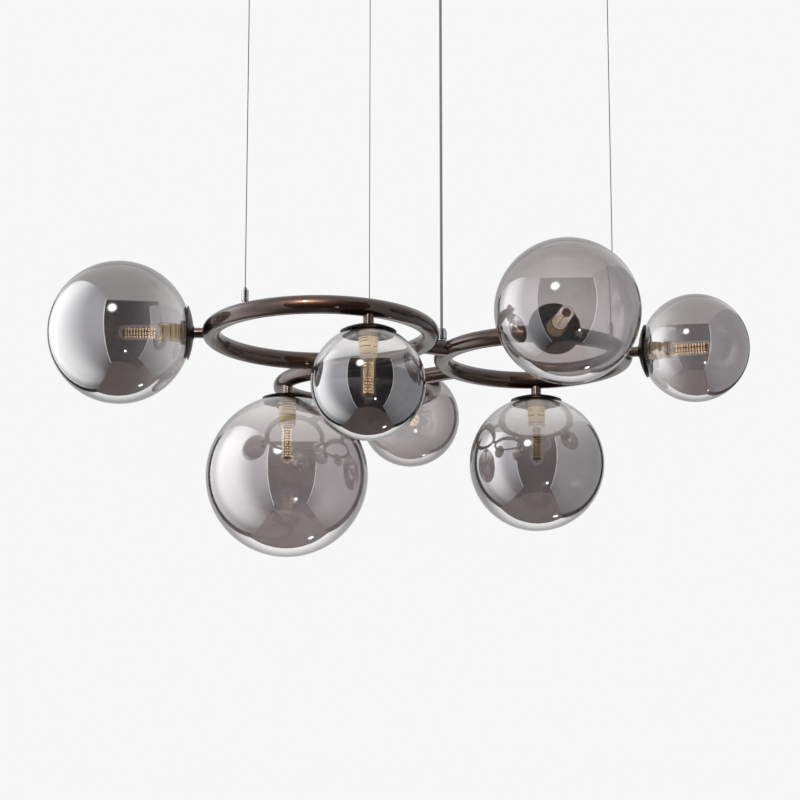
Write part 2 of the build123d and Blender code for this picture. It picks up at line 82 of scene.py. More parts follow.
# Painted glow that stands in for the light falling on each bulb's diodes and on the ceramic of its holder
LAMP_PAINTED_GLOW = {
    "left": (2.4, 0.26),
    "front": (10.0, 0.40),
    "right_front": (0.9, 0.02),
    "right": (2.6, 0.12),
    "right_low": (0.9, 0.38),
    "back": (1.2, 0.10),
    "centre_low": (2.8, 0.34),
}
SMOKE_WARMTH = 0.925  # green and blue that dense smoke lets through, as a part of the red
BOARD_PAINTED_GLOW = 0.15  # painted glow of the board, as a part of the diodes' painted glow
PAINTED_SHADE_GLOW = 0.5  # painted glow of the painted thread shade, as a part of the ceramic's painted glow

# Globe and its moulded mouth
GLASS_WALL = 2.5
MOUTH_OUTER_R = 12.8
MOUTH_BORE_R = 10.4
MOUTH_DEPTH = 11.4
MOUTH_EDGE = 0.9
MOUTH_MARGIN = 0.45  # the mouth's own glass reaches this far past it
BALL_STEPS = 128
OUTER_ARC_STEPS = 56
INNER_ARC_STEPS = 54

# Lampholder: threaded barrel, then a block with two flats, two grooves and a socket
BARREL_R = 9.9
BARREL_START = -0.2
BARREL_END = 20.5
THREAD_START = 1.0
THREAD_TURNS = 6
THREAD_PITCH = 3.0
THREAD_DEPTH = 0.6
THREAD_SLOPE = 0.6
THREAD_CREST = 1.1
BAND_START = 18.7
BLOCK_R = 9.3
BLOCK_FLAT = 8.4
BLOCK_END = 32.3
GROOVE_DEPTH = 0.7
NECK_WIDTH = 1.2
GROOVE_BACK = 3.6  # from the end of the block
GROOVE_WIDTH = 1.0
PAINTED_SHADE_DEPTH = 0.5  # faces that lie this deep get a painted shade
SOCKET_R = 8.0
HOLDER_EDGE = 0.15
HOLDER_STEPS = 64
SLACK = 0.05  # to tell faces and corners apart

# Bulb: base with pins, six sided diode board and a clear domed cover
BULB_SEAT = 27.0
BULB_BASE_R = 7.2
BULB_COLLAR = 2.5
BULB_SHOULDER = 33.5
BULB_PLUG_R = 6.3
BULB_TIP = 76.0
BULB_STEPS = 48
BASE_EDGE = 0.25
COVER_R = 7.6
COVER_WALL = 0.8
DOME_STEPS = 10
PIN_SPACING = 9.0
PIN_SIZE = (4.2, 0.9, 6.5)
PIN_EDGE = 0.3
CORE_SIDES = 6
CORE_R = 5.0
CORE_START = 36.0
CORE_LENGTH = 34.0
CORE_EDGE = 0.2
DIODE_ROWS = 11
DIODE_FIRST = 2.0  # from the start of the core
DIODE_PITCH = 3.0
DIODE_APART = 1.15  # from the middle of a side
DIODE_STAGGER = 0.6
DIODE_SIZE = (0.9, 1.3, 1.6)

# Wires and cord, in metres: places on the plan, ends, the height where they come free, and radius
WIRE_PLACES = {
    "left_wire": (-0.20239, -0.14484),
    "rear_wire": (-0.08062, 0.25963),
    "right_wire": (0.18386, -0.00659),
}
WIRE_FOOT = -0.52913
WIRE_TOP = -0.019
WIRE_R = 0.0005
CORD_FOOT = -0.528
CORD_TOP = -0.016
CORD_R = 0.0015
STRANDS = 7


def globe_radius(lamp):
    """Globe's radius in millimetres, from the solid it stands for."""
    low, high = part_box(f"{lamp}_globe")
    return round(max(high - low) / 2 / MM, 2)


def lamp_frame(lamp):
    """Matrix that puts a piece on a lamp: z runs along its axis from the top of the globe."""
    joint = next(j for j in frame["joints"] if j["name"] == f"{lamp}_globe_unscrew")
    centre, axis = Vector(joint["pos_m"]), Vector(joint["axis"])
    turn = math.radians(LAMP_TURNS[lamp])
    hangs = abs(axis.z) > 0.5
    out = Vector((math.cos(turn), math.sin(turn), 0)) if hangs else Vector((0, 0, 1))
    rows = Matrix((out, axis.cross(out), axis)).transposed().to_4x4()
    return Matrix.Translation(centre - axis * globe_radius(lamp) * MM) @ rows


# Tools for node trees


def fill(tree, made, values):
    """Give a node's sockets their values or links."""
    for key, value in values.items():
        if isinstance(value, bpy.types.NodeSocket):
            tree.links.new(value, made.inputs[key])
        else:
            made.inputs[key].default_value = value


def node(tree, kind, values=None, **settings):
    """Add a node, set its options and fill its sockets."""
    made = tree.nodes.new(kind)
    for key, value in settings.items():
        setattr(made, key, value)
    fill(tree, made, values or {})
    return made


def new_material(name):
    """Material with one Principled shader, and the tree and shader to work on."""
    made = bpy.data.materials.new(name)
    made.use_nodes = True
    tree = made.node_tree
    tree.nodes.clear()
    shader = node(tree, "ShaderNodeBsdfPrincipled")
    node(tree, "ShaderNodeOutputMaterial", {"Surface": shader.outputs["BSDF"]})
    return made, tree, shader


def new_group(name, inputs, outputs):
    """Shader node group with named sockets; gives its tree and the values that come in."""
    tree = bpy.data.node_groups.new(name, "ShaderNodeTree")
    for way, sockets in (("INPUT", inputs), ("OUTPUT", outputs)):
        for title, kind in sockets.items():
            tree.interface.new_socket(name=title, in_out=way, socket_type=f"NodeSocket{kind}")
    return tree, node(tree, "NodeGroupInput").outputs


def place_group(tree, group, **values):
    """Put a group into a material; gives what comes out of it."""
    return node(tree, "ShaderNodeGroup", values, node_tree=group).outputs


def maths(tree, operation, *inputs):
    """One Math node; gives its value."""
    return node(tree, "ShaderNodeMath", dict(enumerate(inputs)), operation=operation).outputs[0]


def vectors(tree, operation, *inputs):
    """One Vector Math node; gives its number where the operation has one, or else its vector."""
    made = node(tree, "ShaderNodeVectorMath", dict(enumerate(inputs)), operation=operation)
    return made.outputs["Value" if operation in ("DOT_PRODUCT", "LENGTH", "DISTANCE") else "Vector"]


def ramp(tree, value, start, end, first=0.0, last=1.0, smooth=False):
    """Number that goes from first to last while another goes from start to end."""
    limits = {"From Min": start, "From Max": end, "To Min": first, "To Max": last}
    kind = "SMOOTHSTEP" if smooth else "LINEAR"
    made = node(tree, "ShaderNodeMapRange", {"Value": value, **limits}, interpolation_type=kind)
    return made.outputs["Result"]


def noise(tree, place, scale, detail, **more):
    """Noise from place to place."""
    values = {"Vector": place, "Scale": scale, "Detail": detail, **more}
    return node(tree, "ShaderNodeTexNoise", values).outputs["Fac"]


def blend_colours(tree, factor, first, second):
    """Mix of two colours; gives the colour."""
    return node(tree, "ShaderNodeMix", {0: factor, 6: first, 7: second}, data_type="RGBA").outputs[2]


def own_place(tree):
    """Place on the piece."""
    return node(tree, "ShaderNodeTexCoord").outputs["Object"]


def bump(tree, height, strength, distance):
    """Surface raised by a height; gives the normal."""
    values = {"Height": height, "Strength": strength, "Distance": distance}
    return node(tree, "ShaderNodeBump", values).outputs["Normal"]


# Effects that several materials share

FINISH_OUTPUTS = {"Color": "Color", "Roughness": "Float", "Height": "Float"}


def make_lacquer_group():
    """Metallic lacquer: cloudy tone, fine flake and faint handling marks."""
    inputs = {"Dark": "Color", "Light": "Color", "Gloss": "Float"}
    tree, given = new_group("metallic_lacquer", inputs, FINISH_OUTPUTS)
    place = own_place(tree)
    cloud = noise(tree, place, 22.0, 3.0, Roughness=0.55)
    flake = noise(tree, place, 2600.0, 1.0)
    smear = noise(tree, place, 70.0, 5.0, Distortion=0.8)
    tone = maths(tree, "MULTIPLY_ADD", flake, 0.5, maths(tree, "MULTIPLY", cloud, 0.7))
    rough = maths(tree, "MULTIPLY_ADD", smear, 0.16, maths(tree, "SUBTRACT", given["Gloss"], 0.08))
    results = {
        "Color": blend_colours(tree, tone, given["Dark"], given["Light"]),
        "Roughness": rough,
        "Height": maths(tree, "MULTIPLY_ADD", flake, 0.35, cloud),
    }
    node(tree, "NodeGroupOutput", results)
    return tree


def make_lathe_group():
    """Lathe marks: rings round an axis, with their depth and a tone that wanders from ring to ring."""
    inputs = {"Middle": "Vector", "Axis": "Vector", "Pitch": "Float"}
    tree, given = new_group("lathe_marks", inputs, {"Height": "Float", "Tone": "Float"})
    away = vectors(tree, "SUBTRACT", own_place(tree), given["Middle"])
    radius = vectors(tree, "LENGTH", vectors(tree, "CROSS_PRODUCT", away, given["Axis"]))
    along = vectors(tree, "DOT_PRODUCT", away, given["Axis"])
    turns = maths(tree, "DIVIDE", maths(tree, "ADD", radius, along), given["Pitch"])
    ring = maths(tree, "SINE", maths(tree, "MULTIPLY", turns, FULL_TURN))
    values = {"W": turns, "Scale": 0.37, "Detail": 3.0}
    wander = node(tree, "ShaderNodeTexNoise", values, noise_dimensions="1D").outputs["Fac"]
    height = maths(tree, "MULTIPLY_ADD", wander, 1.4, ring)
    node(tree, "NodeGroupOutput", {"Height": height, "Tone": wander})
    return tree


def make_smoke_group():
    """Smoke in a globe's glass: thin by the mouth and dense at the far end, with faint ream.

    The mirror film lies on the outside of the glass alone, and is as dense as the smoke.
    """
    inputs = {
        "Top": "Vector",
        "Axis": "Vector",
        "Length": "Float",
        "Begin": "Float",
        "Full": "Float",
        "Mirror": "Float",
    }
    outputs = {"Density": "Float", "Film": "Float", "Height": "Float"}
    tree, given = new_group("glass_smoke", inputs, outputs)
    place = own_place(tree)
    away = vectors(tree, "SUBTRACT", place, given["Top"])
    along = vectors(tree, "DOT_PRODUCT", away, given["Axis"])
    ream = noise(tree, place, 14.0, 2.0)
    depth = maths(tree, "MULTIPLY_ADD", ream, 0.06, maths(tree, "DIVIDE", along, given["Length"]))
    density = ramp(tree, depth, given["Begin"], given["Full"], smooth=True)
    half = maths(tree, "MULTIPLY", given["Length"], 0.5)
    far = vectors(tree, "LENGTH", away)
    rise = maths(tree, "SUBTRACT", along, half)
    side = maths(tree, "SUBTRACT", maths(tree, "MULTIPLY", far, far), maths(tree, "MULTIPLY", along, along))
    reach = maths(tree, "SQRT", maths(tree, "MULTIPLY_ADD", rise, rise, side))
    middle_of_wall = maths(tree, "SUBTRACT", half, GLASS_WALL * MM / 2)
    outside = maths(tree, "GREATER_THAN", reach, middle_of_wall)
    mirror = maths(tree, "MULTIPLY_ADD", density, given["Mirror"], 0.04)
    film = maths(tree, "MULTIPLY", mirror, outside)
    node(tree, "NodeGroupOutput", {"Density": density, "Film": film, "Height": ream})
    return tree


def make_mottle_group():
    """Fine mottle of plated, moulded or fired stuff, in its tone, its gloss and its surface."""
    inputs = {"First": "Color", "Second": "Color", "Scale": "Float", "Gloss": "Float"}
    tree, given = new_group("fine_mottle", inputs, FINISH_OUTPUTS)
    place = own_place(tree)
    grain = noise(tree, place, given["Scale"], 4.0, Roughness=0.6)
    speck = noise(tree, place, maths(tree, "MULTIPLY", given["Scale"], 0.12), 2.0)
    mottle = maths(tree, "MULTIPLY_ADD", speck, 0.6, maths(tree, "MULTIPLY", grain, 0.4))
    rough = maths(tree, "MULTIPLY_ADD", grain, 0.14, maths(tree, "SUBTRACT", given["Gloss"], 0.07))
    colour = blend_colours(tree, mottle, given["First"], given["Second"])
    node(tree, "NodeGroupOutput", {"Color": colour, "Roughness": rough, "Height": grain})
    return tree


def make_flow_group():
    """Faint flow lines of drawn glass."""
    inputs = {"First": "Color", "Second": "Color"}
    tree, given = new_group("glass_flow", inputs, {"Color": "Color", "Height": "Float"})
    flow = noise(tree, own_place(tree), 120.0, 2.0)
    colour = blend_colours(tree, flow, given["First"], given["Second"])
    node(tree, "NodeGroupOutput", {"Color": colour, "Height": flow})
    return tree


def make_twist_group():
    """Strands twisted round each other along a wire or cord."""
    inputs = {"Along": "Vector", "First": "Color", "Second": "Color", "Turns": "Float", "Gloss": "Float"}
    tree, given = new_group("strand_twist", inputs, FINISH_OUTPUTS)
    parts = node(tree, "ShaderNodeSeparateXYZ", {"Vector": given["Along"]}).outputs
    strands = maths(tree, "MULTIPLY", parts["Y"], STRANDS * FULL_TURN)
    lay = maths(tree, "MULTIPLY", given["Turns"], FULL_TURN)
    twist = maths(tree, "SINE", maths(tree, "MULTIPLY_ADD", parts["X"], lay, strands))
    ridge = maths(tree, "MULTIPLY_ADD", twist, 0.5, 0.5)
    colour = blend_colours(tree, ridge, given["First"], given["Second"])
    rough = maths(tree, "MULTIPLY_ADD", ridge, 0.1, given["Gloss"])
    node(tree, "NodeGroupOutput", {"Color": colour, "Roughness": rough, "Height": ridge})
    return tree


LACQUER = make_lacquer_group()
LATHE_MARKS = make_lathe_group()
GLASS_SMOKE = make_smoke_group()
MOTTLE = make_mottle_group()
GLASS_FLOW = make_flow_group()
TWIST = make_twist_group()

# Materials


def make_bronze(name, dark, light, gloss):
    """Dark bronze lacquer on steel."""
    made, tree, shader = new_material(name)
    lacquer = place_group(tree, LACQUER, Dark=dark, Light=light, Gloss=gloss)
    values = {
        "Base Color": lacquer["Color"],
        "Roughness": lacquer["Roughness"],
        "Metallic": 0.9,
        "Coat Weight": 1.0,
        "Coat Roughness": 0.03,
        "Coat IOR": 1.55,
        "Normal": bump(tree, lacquer["Height"], 0.06, 0.0001),
    }
    fill(tree, shader, values)
    return made


def make_cap_metal(lamp):
    """Near black turned metal of a cap, with lathe marks round its own axis."""
    made, tree, shader = new_material(f"{lamp}_cap_metal")
    place = lamp_frame(lamp)
    marks = place_group(
        tree, LATHE_MARKS, Middle=place.translation, Axis=place.col[2].to_3d(), Pitch=0.0005
    )
    dark, light = (0.006, 0.005, 0.005, 1), (0.035, 0.027, 0.023, 1)
    values = {
        "Base Color": blend_colours(tree, marks["Tone"], dark, light),
        "Roughness": maths(tree, "MULTIPLY_ADD", marks["Tone"], 0.12, 0.22),
        "Metallic": 0.9,
        "Normal": bump(tree, marks["Height"], 0.18, 0.0001),
    }
    fill(tree, shader, values)
    return made


def make_smoked_glass(lamp):
    """Smoke grey glass with a half mirror film that grows denser away from the mouth."""
    made, tree, shader = new_material(f"{lamp}_smoked_glass")
    place = lamp_frame(lamp)
    grey, begin, full, mirror = LAMP_SMOKE[lamp]
    smoke = place_group(
        tree,
        GLASS_SMOKE,
        Top=place.translation,
        Axis=place.col[2].to_3d(),
        Length=2 * globe_radius(lamp) * MM,
        Begin=begin,
        Full=full,
        Mirror=mirror,
    )
    thin = (0.93, 0.925, 0.92, 1)
    dense = (grey, grey * SMOKE_WARMTH, grey * SMOKE_WARMTH, 1)
    values = {
        "Base Color": blend_colours(tree, smoke["Density"], thin, dense),
        "Roughness": 0.0,
        "IOR": 1.47,
        "Transmission Weight": 1.0,
        "Coat Weight": smoke["Film"],
        "Coat Roughness": 0.0,
        "Coat IOR": 2.9,
        "Normal": bump(tree, smoke["Height"], 0.03, 0.0004),
    }
    fill(tree, shader, values)
    return made


def make_clear_glass(name, first, second, rough, gleam, rim):
    """Plain glass with faint flow lines, a gleaming outside and, where rim is set, a painted glow of light
    caught in its rim.
    """
    made, tree, shader = new_material(name)
    flow = place_group(tree, GLASS_FLOW, First=first, Second=second)
    values = {
        "Base Color": flow["Color"],
        "Roughness": rough,
        "IOR": 1.45,
        "Transmission Weight": 1.0,
        "Coat Weight": gleam,
        "Coat IOR": 2.0,
        "Normal": bump(tree, flow["Height"], 0.05, 0.0002),
    }
    fill(tree, shader, values)
    if rim:
        # Painted glow along the rim, where the glass turns away from the eye
        graze = node(tree, "ShaderNodeLayerWeight", {"Blend": 0.5}).outputs["Facing"]
        edge = maths(tree, "POWER", graze, 3.0)
        caught = blend_colours(tree, edge, (0, 0, 0, 1), (1.0, 0.86, 0.76, 1))
        fill(tree, shader, {"Emission Color": caught, "Emission Strength": rim})
    return made


def make_grained(name, first, second, rough, scale, metallic=0.0, depth=0.1, painted_glow=0.0):
    """Plain stuff with a fine mottle, and a painted glow if it has one."""
    made, tree, shader = new_material(name)
    mottle = place_group(tree, MOTTLE, First=first, Second=second, Scale=scale, Gloss=rough)
    values = {
        "Base Color": mottle["Color"],
        "Roughness": mottle["Roughness"],
        "Metallic": metallic,
        "Normal": bump(tree, mottle["Height"], depth, 0.0002),
    }
    fill(tree, shader, values)
    # Painted glow: the stuff shines in its own mottled colour as if lit
    if painted_glow:
        fill(tree, shader, {"Emission Color": mottle["Color"], "Emission Strength": painted_glow})
    return made


def make_strand(name, first, second, turns, rough):
    """Twisted strands that run up a wire or cord."""
    made, tree, shader = new_material(name)
    along = node(tree, "ShaderNodeUVMap").outputs["UV"]
    twist = place_group(tree, TWIST, Along=along, First=first, Second=second, Turns=turns, Gloss=rough)
    values = {
        "Base Color": twist["Color"],
        "Roughness": twist["Roughness"],
        "Specular IOR Level": 0.2,
        "Normal": bump(tree, twist["Height"], 0.12, 0.0002),
    }
    fill(tree, shader, values)
    return made


BRONZE = make_bronze("bronze_tube", (0.006, 0.004, 0.003, 1), (0.058, 0.026, 0.015, 1), 0.37)
STEM_BRONZE = make_bronze("bronze_stem", (0.05, 0.036, 0.030, 1), (0.16, 0.115, 0.095, 1), 0.16)
CHROME = make_grained(
    "polished_chrome", (0.44, 0.44, 0.45, 1), (0.56, 0.56, 0.56, 1), 0.10, 900.0, 1.0, 0.02
)
ZINC = make_grained("zinc_plate", (0.26, 0.27, 0.27, 1), (0.44, 0.44, 0.42, 1), 0.38, 260.0, 1.0)
SILICONE = make_grained(
    "black_silicone", (0.012, 0.012, 0.012, 1), (0.03, 0.03, 0.03, 1), 0.55, 700.0
)
# The white bulb base carries a painted glow
WHITE_CERAMIC = make_grained(
    "bulb_base_white", (0.72, 0.68, 0.58, 1), (0.86, 0.82, 0.72, 1), 0.32, 520.0, painted_glow=0.4
)
BRASS = make_grained("pin_brass", (0.55, 0.38, 0.14, 1), (0.75, 0.55, 0.25, 1), 0.25, 800.0, 1.0, 0.05)
TERMINAL = make_grained(
    "terminal_plastic", (0.46, 0.45, 0.41, 1), (0.56, 0.55, 0.51, 1), 0.42, 420.0
)
LEADS = make_grained("lead_sleeve", (0.012, 0.012, 0.012, 1), (0.03, 0.03, 0.03, 1), 0.45, 900.0)
# The bulb cover carries a painted glow in its rim
CLEAR_GLASS = make_clear_glass(
    "bulb_cover_clear", (0.93, 0.92, 0.90, 1), (0.98, 0.98, 0.97, 1), 0.02, 0.6, 1.0
)
MOUTH_GLASS = make_clear_glass(
    "mouth_glass", (0.52, 0.51, 0.49, 1), (0.64, 0.63, 0.61, 1), 0.18, 0.3, 0.0
)
STEEL_STRAND = make_strand("steel_strand", (0.05, 0.05, 0.05, 1), (0.075, 0.075, 0.075, 1), 300.0, 0.45)
CORD_SHEATH = make_strand("cord_sheath", (0.105, 0.105, 0.105, 1), (0.135, 0.135, 0.135, 1), 30.0, 0.40)

# Tools for lamp pieces


def lathe(profile, steps):
    """Turn a profile of (radius, height) pairs round z."""
    shape = bmesh.new()
    line = [shape.verts.new((r * MM, 0, z * MM)) for r, z in profile]
    for pair in zip(line, line[1:]):
        shape.edges.new(pair)
    spin_round(shape, steps)
    return shape


def spin_round(shape, steps):
    """Spin all that a shape holds into a turned body with its faces outwards."""
    line = shape.verts[:] + shape.edges[:]
    bmesh.ops.spin(shape, geom=line, axis=(0, 0, 1), angle=FULL_TURN, steps=steps, use_merge=True)
    bmesh.ops.remove_doubles(shape, verts=shape.verts, dist=1e-6)
    bmesh.ops.recalc_face_normals(shape, faces=shape.faces)


def draw_arc(shape, start, centre, reach, steps):
    """Draw an arc from a point, round an axis along y; gives its last point."""
    made = bmesh.ops.spin(
        shape, geom=[start], cent=centre, axis=(0, 1, 0), angle=reach, steps=steps, use_merge=False
    )
    return made["geom_last"][0]


def round_edges(shape, width, least=35, segments=2):
    """Bevel every edge that is sharper than an angle in degrees."""
    closed = [e for e in shape.edges if len(e.link_faces) == 2]
    sharp = [e for e in closed if math.degrees(e.calc_face_angle(0)) > least]
    bmesh.ops.bevel(
        shape,
        geom=sharp,
        offset=width * MM,
        offset_type="OFFSET",
        affect="EDGES",
        segments=segments,
        profile=0.5,
        material=-1,
        clamp_overlap=True,
    )


def finish_piece(shape, name, materials, body, place, smooth=40):
    """Put a shape in place, make it an object and let it ride on a body.

    Edges that turn by more than smooth degrees stay sharp.
    """
    shape.transform(place)
    mesh = bpy.data.meshes.new(name)
    shape.to_mesh(mesh)
    shape.free()
    mesh.shade_smooth()
    mesh.set_sharp_from_angle(angle=math.radians(smooth))
    for material in materials:
        mesh.materials.append(material)
    piece = bpy.data.objects.new(name, mesh)
    scene.collection.objects.link(piece)
    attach(piece, body)
    return piece


# Lamp pieces


def make_globe(lamp):
    """Glass ball: one line from the far end over the outside, down the mouth and back inside."""
    radius = globe_radius(lamp)
    shape = bmesh.new()
    ends = []
    for ball, steps in ((radius, OUTER_ARC_STEPS), (radius - GLASS_WALL, INNER_ARC_STEPS)):
        far = shape.verts.new((0, 0, (radius + ball) * MM))
        reach = math.pi - math.asin(MOUTH_OUTER_R / ball)
        ends.append(draw_arc(shape, far, (0, 0, radius * MM), reach, steps))
    outer_end, inner_end = ends
    bore = math.copysign(MOUTH_BORE_R * MM, outer_end.co.x)
    lip = shape.verts.new((bore, 0, outer_end.co.z))
    foot = shape.verts.new((bore, 0, MOUTH_DEPTH * MM))
    heel = shape.verts.new((outer_end.co.x, 0, MOUTH_DEPTH * MM))
    for pair in ((outer_end, lip), (lip, foot), (foot, heel), (heel, inner_end)):
        shape.edges.new(pair)
    spin_round(shape, BALL_STEPS)
    round_edges(shape, MOUTH_EDGE, 30, 4)
    for face in shape.faces:
        middle = face.calc_center_median() / MM
        near = math.hypot(middle.x, middle.y) < MOUTH_OUTER_R + MOUTH_MARGIN
        if near and middle.z < MOUTH_DEPTH + MOUTH_MARGIN:
            face.material_index = 1
    glass = [make_smoked_glass(lamp), MOUTH_GLASS]
    place = lamp_frame(lamp)
    return finish_piece(shape, f"{lamp}_glass_ball", glass, f"{lamp}_globe", place, 60)


def holder_profile():
    """Outline of a lampholder from its start to the floor of its socket."""
    root = BARREL_R - THREAD_DEPTH
    thread = []
    for turn in range(THREAD_TURNS):
        low = THREAD_START + turn * THREAD_PITCH
        crest_end = low + THREAD_SLOPE + THREAD_CREST
        thread += [(root, low), (BARREL_R, low + THREAD_SLOPE)]
        thread += [(BARREL_R, crest_end), (root, crest_end + THREAD_SLOPE)]
    groove_r = BLOCK_R - GROOVE_DEPTH
    neck_end = BARREL_END + NECK_WIDTH
    groove_start = BLOCK_END - GROOVE_BACK
    groove_end = groove_start + GROOVE_WIDTH
    return [
        (0, BARREL_START),
        (root, BARREL_START),
        *thread,
        (BARREL_R, BAND_START),
        (BARREL_R, BARREL_END),
        (groove_r, BARREL_END),
        (groove_r, neck_end),
        (BLOCK_R, neck_end),
        (BLOCK_R, groove_start),
        (groove_r, groove_start),
        (groove_r, groove_end),
        (BLOCK_R, groove_end),
        (BLOCK_R, BLOCK_END),
        (SOCKET_R, BLOCK_END),
        (SOCKET_R, BULB_SEAT),
        (0, BULB_SEAT),
    ]


def make_holder(lamp):
    """Ceramic lampholder: screw thread, plain band and a block with two flats and two grooves, with painted
    shade in the thread, the grooves and round the socket, and a painted glow.
    """
    shape = lathe(holder_profile(), HOLDER_STEPS)
    flat = BLOCK_FLAT * MM
    for corner in shape.verts:
        if corner.co.z > (BARREL_END + SLACK) * MM:
            corner.co.x = max(-flat, min(flat, corner.co.x))
    # Painted shade: faces deep in the thread, in the grooves and round the socket take the darker second
    # material
    for face in shape.faces:
        middle = face.calc_center_median() / MM
        away = math.hypot(middle.x, middle.y)
        if middle.z < BARREL_END:
            shaded_groove = away < BARREL_R - PAINTED_SHADE_DEPTH
        else:
            shaded_groove = SOCKET_R + SLACK < away < BLOCK_R - PAINTED_SHADE_DEPTH
        if shaded_groove and abs(middle.x) < BLOCK_FLAT - SLACK:
            face.material_index = 1
    round_edges(shape, HOLDER_EDGE)
    # Painted glow of the ceramic, lamp by lamp, and weaker on the painted shade
    painted_glow = LAMP_PAINTED_GLOW[lamp][1]
    cream = make_grained(
        f"{lamp}_cream_ceramic", (0.72, 0.55, 0.31, 1), (0.86, 0.73, 0.50, 1), 0.30, 520.0, painted_glow=painted_glow
    )
    shade = make_grained(
        f"{lamp}_painted_thread_shade",
        (0.24, 0.14, 0.06, 1),
        (0.36, 0.22, 0.10, 1),
        0.40,
        520.0,
        painted_glow=painted_glow * PAINTED_SHADE_GLOW,
    )
    finish = [cream, shade]
    return finish_piece(shape, f"{lamp}_lampholder", finish, "frame", lamp_frame(lamp))


def bulb_base():
    """Base of a bulb, with the collar that carries its cover and the plug under its core."""
    collar_start = BULB_SHOULDER - BULB_COLLAR
    profile = [
        (0, BULB_SEAT),
        (BULB_BASE_R, BULB_SEAT),
        (BULB_BASE_R, collar_start),
        (COVER_R, collar_start),
        (COVER_R, BULB_SHOULDER),
        (BULB_PLUG_R, BULB_SHOULDER),
        (BULB_PLUG_R, CORE_START),
        (0, CORE_START),
    ]
    shape = lathe(profile, BULB_STEPS)
    round_edges(shape, BASE_EDGE)
    return shape


def scaled_cube(shape, size, spot):
    """Add a block of a size in millimetres, at a place."""
    stretch = Matrix.Diagonal((*(Vector(size) * MM), 1))
    bmesh.ops.create_cube(shape, size=1, matrix=spot @ stretch)


def bulb_pins():
    """Two flat pins under a bulb's base."""
    shape = bmesh.new()
    for side in (-1, 1):
        spot = Vector((0, side * PIN_SPACING / 2, BULB_SEAT - PIN_SIZE[2] / 2)) * MM
        scaled_cube(shape, PIN_SIZE, Matrix.Translation(spot))
    round_edges(shape, PIN_EDGE)
    return shape


def diode_board():
    """Six sided board inside a bulb."""
    shape = bmesh.new()
    bmesh.ops.create_cone(
        shape,
        cap_ends=True,
        segments=CORE_SIDES,
        radius1=CORE_R * MM,
        radius2=CORE_R * MM,
        depth=CORE_LENGTH * MM,
        matrix=Matrix.Translation((0, 0, (CORE_START + CORE_LENGTH / 2) * MM)),
    )
    round_edges(shape, CORE_EDGE)
    return shape


def diode_rows():
    """Pairs of diodes up each side of the board, staggered from row to row."""
    shape = bmesh.new()
    half_side = math.pi / CORE_SIDES
    flat = CORE_R * math.cos(half_side)
    for side in range(CORE_SIDES):
        turn = Matrix.Rotation(half_side * (1 + 2 * side), 4, "Z")
        for row in range(DIODE_ROWS):
            shift = DIODE_STAGGER if row % 2 else -DIODE_STAGGER
            height = CORE_START + DIODE_FIRST + row * DIODE_PITCH
            for column in (-DIODE_APART, DIODE_APART):
                spot = Vector((flat, column + shift, height)) * MM
                scaled_cube(shape, DIODE_SIZE, turn @ Matrix.Translation(spot))
    return shape


def bulb_cover():
    """Clear tube with a domed end and a wall."""
    shape = bmesh.new()
    dome = (BULB_TIP - COVER_R) * MM
    feet = []
    for ball in (COVER_R, COVER_R - COVER_WALL):
        tip = shape.verts.new((0, 0, dome + ball * MM))
        side = draw_arc(shape, tip, (0, 0, dome), math.pi / 2, DOME_STEPS)
        foot = shape.verts.new((side.co.x, 0, BULB_SHOULDER * MM))
        shape.edges.new((side, foot))
        feet.append(foot)
    shape.edges.new(feet)
    spin_round(shape, BULB_STEPS)
    return shape


def make_bulb(lamp):
    """Pin base capsule: base with pins, diode board on six sides, and a clear domed cover."""
    # Painted glow on the diodes and, weaker, on the board, set lamp by lamp
    painted_glow = LAMP_PAINTED_GLOW[lamp][0]
    board = make_grained(
        f"{lamp}_diode_board",
        (0.08, 0.04, 0.018, 1),
        (0.14, 0.07, 0.03, 1),
        0.40,
        900.0,
        painted_glow=painted_glow * BOARD_PAINTED_GLOW,
    )
    phosphor = make_grained(
        f"{lamp}_diode_phosphor", (0.88, 0.62, 0.32, 1), (0.97, 0.82, 0.58, 1), 0.35, 1200.0, painted_glow=painted_glow
    )
    pieces = [
        ("bulb_base", bulb_base(), WHITE_CERAMIC, 40),
        ("bulb_pins", bulb_pins(), BRASS, 40),
        ("diode_board", diode_board(), board, 40),
        ("diodes", diode_rows(), phosphor, 20),
        ("bulb_cover", bulb_cover(), CLEAR_GLASS, 60),
    ]
    place = lamp_frame(lamp)
    made = [
        finish_piece(shape, f"{lamp}_{title}", [finish], f"{lamp}_bulb", place, smooth)
        for title, shape, finish, smooth in pieces
    ]
    return made[0]


for lamp in LAMP_TURNS:
    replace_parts(make_globe(lamp), f"{lamp}_globe")
    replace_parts(make_holder(lamp), f"{lamp}_holder")
    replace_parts(make_bulb(lamp), f"{lamp}_bulb")

# Wires and cord


def make_line(name, spot, low, high, radius, material):
    """Taut wire or cord from its fitting on the rings to its fitting on the ceiling."""
    x, y = spot
    curve = bpy.data.curves.new(name, "CURVE")
    curve.dimensions = "3D"
    curve.bevel_depth = radius
    curve.bevel_resolution = 6
    curve.use_fill_caps = True
    spline = curve.splines.new("NURBS")
    route = [(x, y, low), (x, y, (low + high) / 2), (x, y, high)]
    spline.points.add(len(route) - 1)
    for point, place in zip(spline.points, route):
        point.co = (*place, 1)
    spline.order_u = 3
    spline.use_endpoint_u = True
    curve.materials.append(material)
    piece = bpy.data.objects.new(name, curve)
    scene.collection.objects.link(piece)
    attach(piece, "frame")
    return piece


for name, spot in WIRE_PLACES.items():
    line = make_line(
        f"{name}_line", spot, WIRE_FOOT, WIRE_TOP, WIRE_R, STEEL_STRAND
    )
    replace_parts(line, name)
line = make_line(
    "power_cord_line", (0, 0), CORD_FOOT, CORD_TOP, CORD_R, CORD_SHEATH
)
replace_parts(line, "power_cord")

# Materials on the solids that stay

